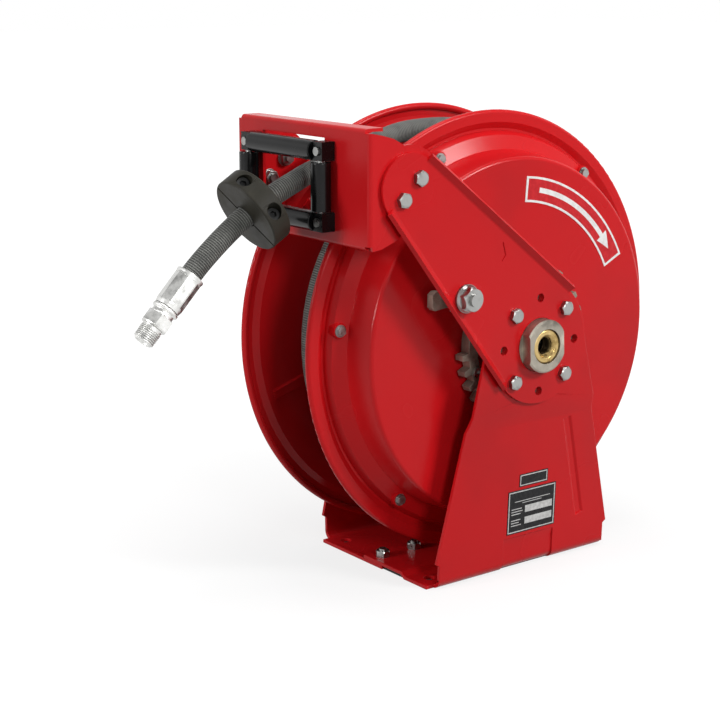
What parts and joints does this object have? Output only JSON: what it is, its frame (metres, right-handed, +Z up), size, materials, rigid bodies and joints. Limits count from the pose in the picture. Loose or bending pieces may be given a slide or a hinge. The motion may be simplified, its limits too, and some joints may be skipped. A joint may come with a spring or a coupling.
{
  "type": "spring driven hose reel",
  "caption": "Hose reel on two pedestals with a spring driven spool, ratchet and pawl, guide arms, a four-roller fairlead and a wound hose.",
  "frame": {"origin": "centre of the base mounting-hole pattern, on the underside of the floor plates", "axes": "+Z up; the spool turns about an axis along Y; the hose is pulled out towards -X; the inlet is on the -Y side"},
  "size_m": [0.611, 0.2385, 0.451],
  "materials": {
    "red_paint": "gloss enamel",
    "plated_steel": "bright zinc plate",
    "cast_iron": "as cast, oiled",
    "brass": "machined",
    "roller_plastic": "moulded",
    "stop_plastic": "moulded, fine texture",
    "rubber_seal": "moulded",
    "hose_rubber": "wrapped cover",
    "spring_steel": "blued strip",
    "steel": "turned",
    "label_white": "printed film",
    "label_black": "printed film"
  },
  "bodies": {
    "frame": {"foot_near": "red_paint", "foot_far": "red_paint", "floor_studs": "plated_steel", "floor_nuts": "plated_steel", "arm_near": "red_paint", "arm_far": "red_paint", "inlet_hub": "cast_iron", "end_hub": "cast_iron", "hub_bolts_near": "plated_steel", "hub_bolts_far": "plated_steel", "inlet_fitting": "brass", "shaft": "steel", "shaft_seals": "rubber_seal", "spring_arbor": "cast_iron", "fairlead_bracket": "red_paint", "head_bolts_near": "plated_steel", "head_bolts_far": "plated_steel", "head_nuts_near": "plated_steel", "head_nuts_far": "plated_steel", "corner_blocks": "roller_plastic", "block_screws": "plated_steel", "roller_pins": "plated_steel", "pawl_bolt": "plated_steel", "pawl_spring": "spring_steel", "hose_lead": "hose_rubber", "stop_half_upper": "stop_plastic", "stop_half_lower": "stop_plastic", "stop_screws": "steel", "ferrule": "plated_steel", "end_fitting": "plated_steel", "rating_plate": "label_black", "notice_plate": "label_black"},
    "spool": {"disc_near": "red_paint", "disc_far": "red_paint", "drum_barrel": "red_paint", "spring_case": "red_paint", "case_screws": "plated_steel", "mainspring": "spring_steel", "ratchet_ring": "cast_iron", "ratchet_screws": "plated_steel", "bearing_near": "brass", "bearing_far": "brass", "swivel_sleeve": "brass", "outlet_elbow": "brass", "wound_hose": "hose_rubber", "case_label": "label_white"},
    "pawl": {"pawl": "cast_iron"},
    "roller_upper": {"roller_upper": "roller_plastic"},
    "roller_lower": {"roller_lower": "roller_plastic"},
    "roller_near": {"roller_near": "roller_plastic"},
    "roller_far": {"roller_far": "roller_plastic"}
  },
  "joints": [
    {"name": "spool_spin", "type": "hinge", "parent": "frame", "child": "spool", "pos_m": [0, 0.0245, 0.231], "axis": [0, 1, 0], "continuous": true},
    {"name": "pawl_swing", "type": "hinge", "parent": "frame", "child": "pawl", "pos_m": [-0.09429, -0.0845, 0.28765], "axis": [0, -1, 0], "range_deg": [0, 14], "stiffness_Nm_per_rad": 0.2, "springref_deg": -8.59},
    {"name": "roller_upper_spin", "type": "hinge", "parent": "frame", "child": "roller_upper", "pos_m": [-0.21414, 0.0115, 0.42581], "axis": [0, 1, 0], "continuous": true},
    {"name": "roller_lower_spin", "type": "hinge", "parent": "frame", "child": "roller_lower", "pos_m": [-0.21414, 0.0115, 0.36191], "axis": [0, 1, 0], "continuous": true},
    {"name": "roller_near_spin", "type": "hinge", "parent": "frame", "child": "roller_near", "pos_m": [-0.21414, -0.04675, 0.39386], "axis": [0, 0, 1], "continuous": true},
    {"name": "roller_far_spin", "type": "hinge", "parent": "frame", "child": "roller_far", "pos_m": [-0.21414, 0.06975, 0.39386], "axis": [0, 0, 1], "continuous": true}
  ]
}
